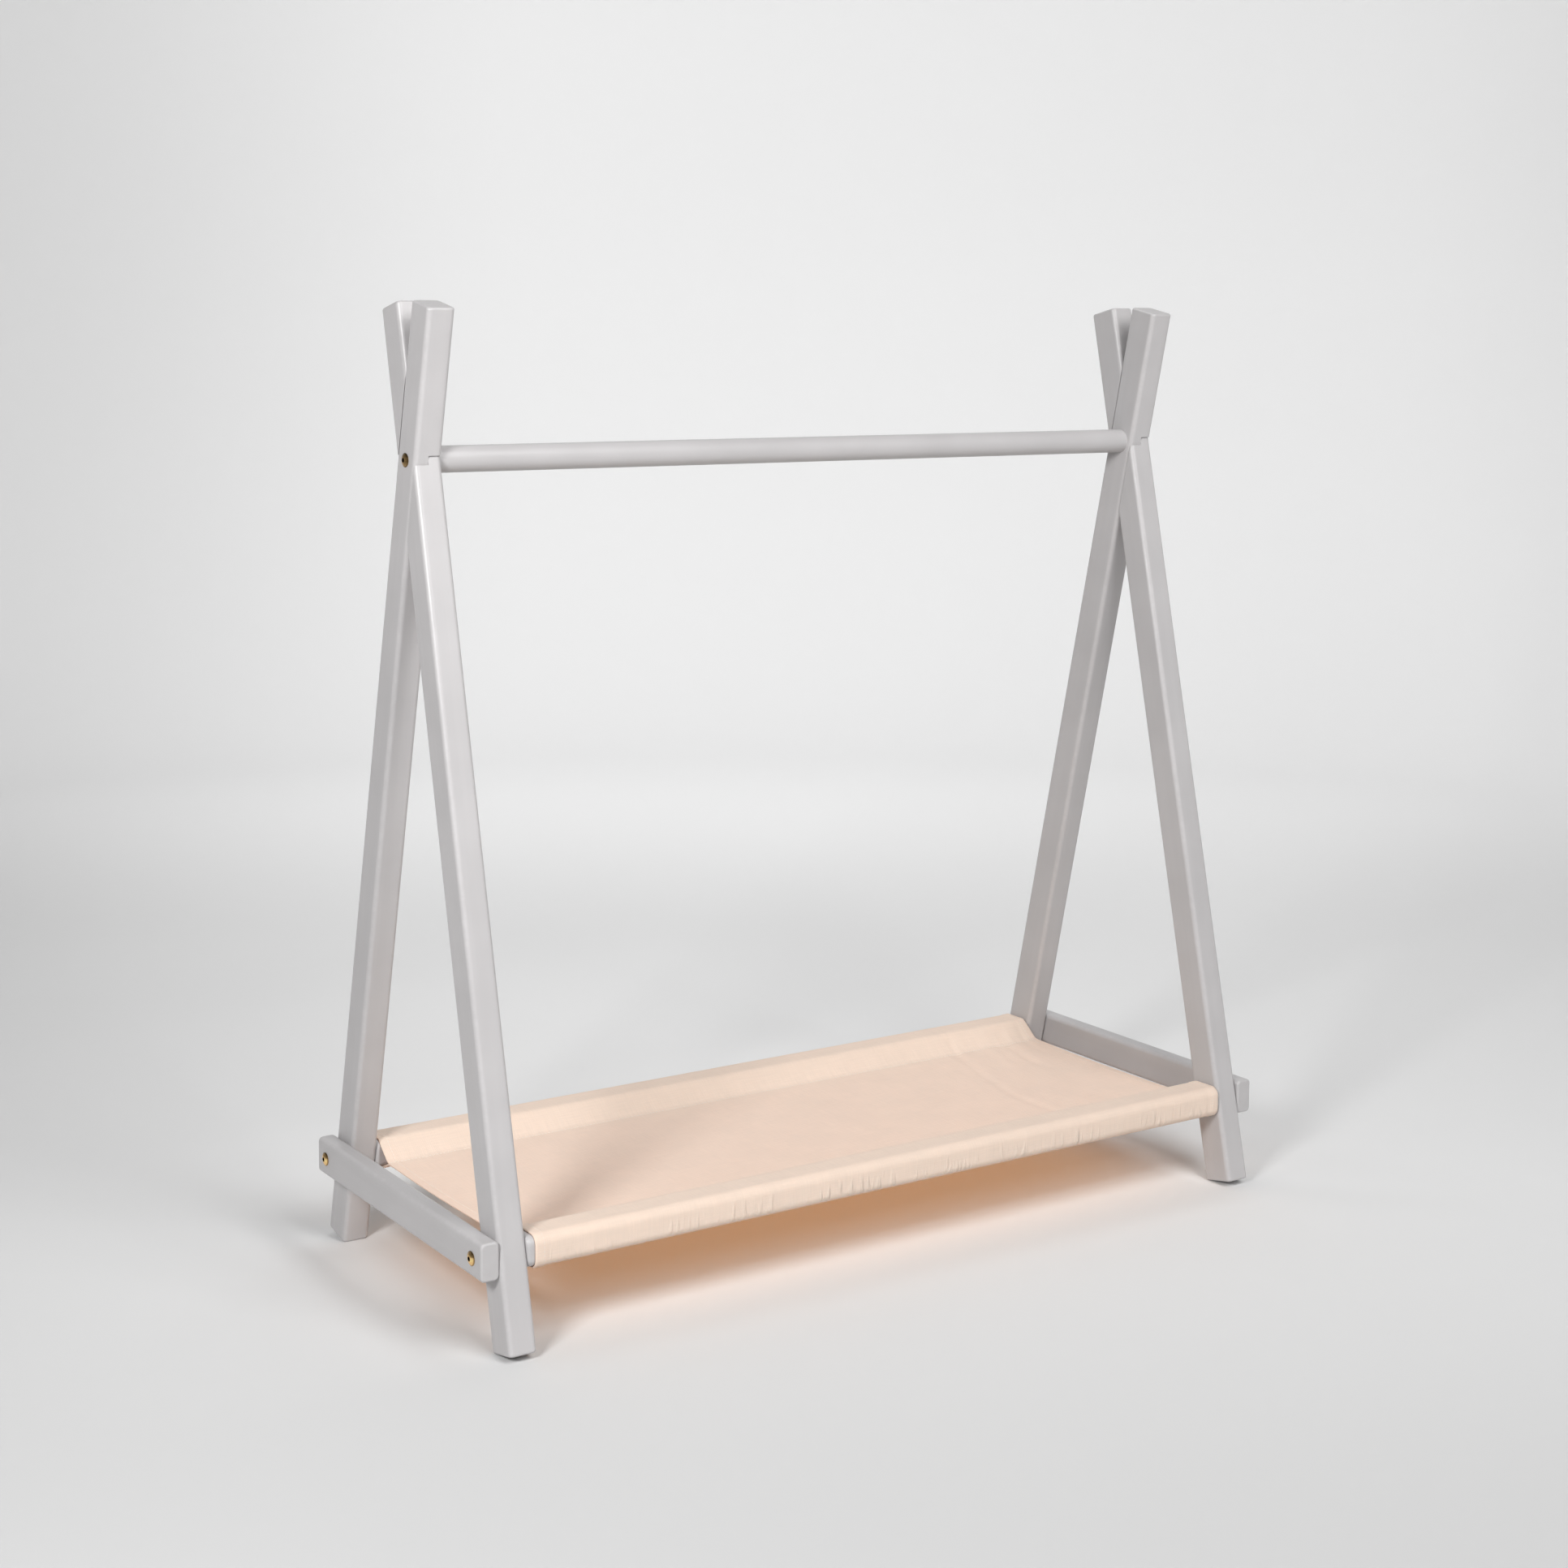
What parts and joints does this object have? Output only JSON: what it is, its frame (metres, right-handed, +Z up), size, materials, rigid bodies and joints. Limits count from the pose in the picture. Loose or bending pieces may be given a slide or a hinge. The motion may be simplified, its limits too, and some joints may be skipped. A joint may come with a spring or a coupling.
{
  "type": "clothes rack",
  "caption": "Free-standing clothes rack with crossed-leg end frames, a round hanging rail and a low canvas sling shelf on wooden rails.",
  "frame": {"origin": "floor level, at the centre of the footprint", "axes": "+X along the hanging rail, towards the right end frame; -Y is the front; +Z up"},
  "size_m": [1.0056, 0.4084, 0.9982],
  "materials": {
    "painted_wood": "satin warm-grey paint on solid wood",
    "canvas": "matt peach cotton canvas",
    "bolt": "brass-plated, satin",
    "insert": "zinc-plated"
  },
  "bodies": {
    "root": {"left_front_leg": "painted_wood", "left_rear_leg": "painted_wood", "right_front_leg": "painted_wood", "right_rear_leg": "painted_wood", "left_cross_bar": "painted_wood", "right_cross_bar": "painted_wood", "hanging_rail": "painted_wood", "front_sling_rail": "painted_wood", "rear_sling_rail": "painted_wood", "sling": "canvas", "left_rail_bolt": "bolt", "right_rail_bolt": "bolt", "left_front_bolt": "bolt", "left_rear_bolt": "bolt", "right_front_bolt": "bolt", "right_rear_bolt": "bolt", "left_rail_insert": "insert", "right_rail_insert": "insert", "left_front_insert": "insert", "left_rear_insert": "insert", "right_front_insert": "insert", "right_rear_insert": "insert"}
  },
  "joints": []
}
